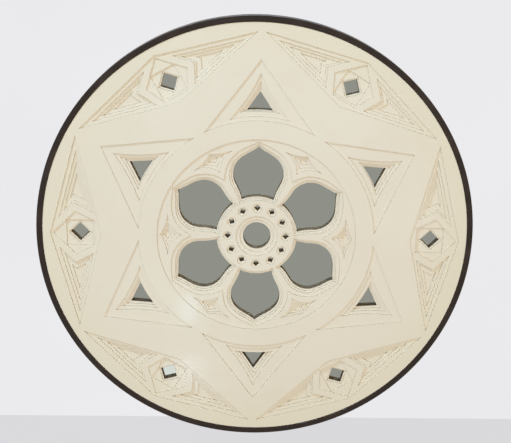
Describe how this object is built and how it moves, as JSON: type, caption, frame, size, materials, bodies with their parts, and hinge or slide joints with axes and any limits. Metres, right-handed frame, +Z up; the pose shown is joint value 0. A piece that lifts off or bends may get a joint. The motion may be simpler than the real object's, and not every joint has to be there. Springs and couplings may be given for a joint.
{
  "type": "wall sculpture",
  "caption": "Round wall sculpture of layered cream boards cut in a star and rosette pattern over a mirror, held in a thin dark metal hoop.",
  "frame": {"origin": "middle of the back panel's rear face, in the plane of the wall", "axes": "+Y out of the back into the wall, so the face looks along -Y; +Z up through a star point; +X to the right as seen from the front"},
  "size_m": [0.914, 0.032, 0.914],
  "materials": {
    "bronze_metal": "dark bronze, satin",
    "cream_lacquer": "hardboard with cream lacquer, satin, cut edges bare and tan",
    "mirror": "silvered glass, clear",
    "brown_hardboard": "bare brown hardboard, matt"
  },
  "bodies": {
    "root": {"hoop_frame": "bronze_metal", "front_board": "cream_lacquer", "second_board": "cream_lacquer", "third_board": "cream_lacquer", "fourth_board": "cream_lacquer", "fifth_board": "cream_lacquer", "mirror_sheet": "mirror", "back_panel": "brown_hardboard"}
  },
  "joints": []
}
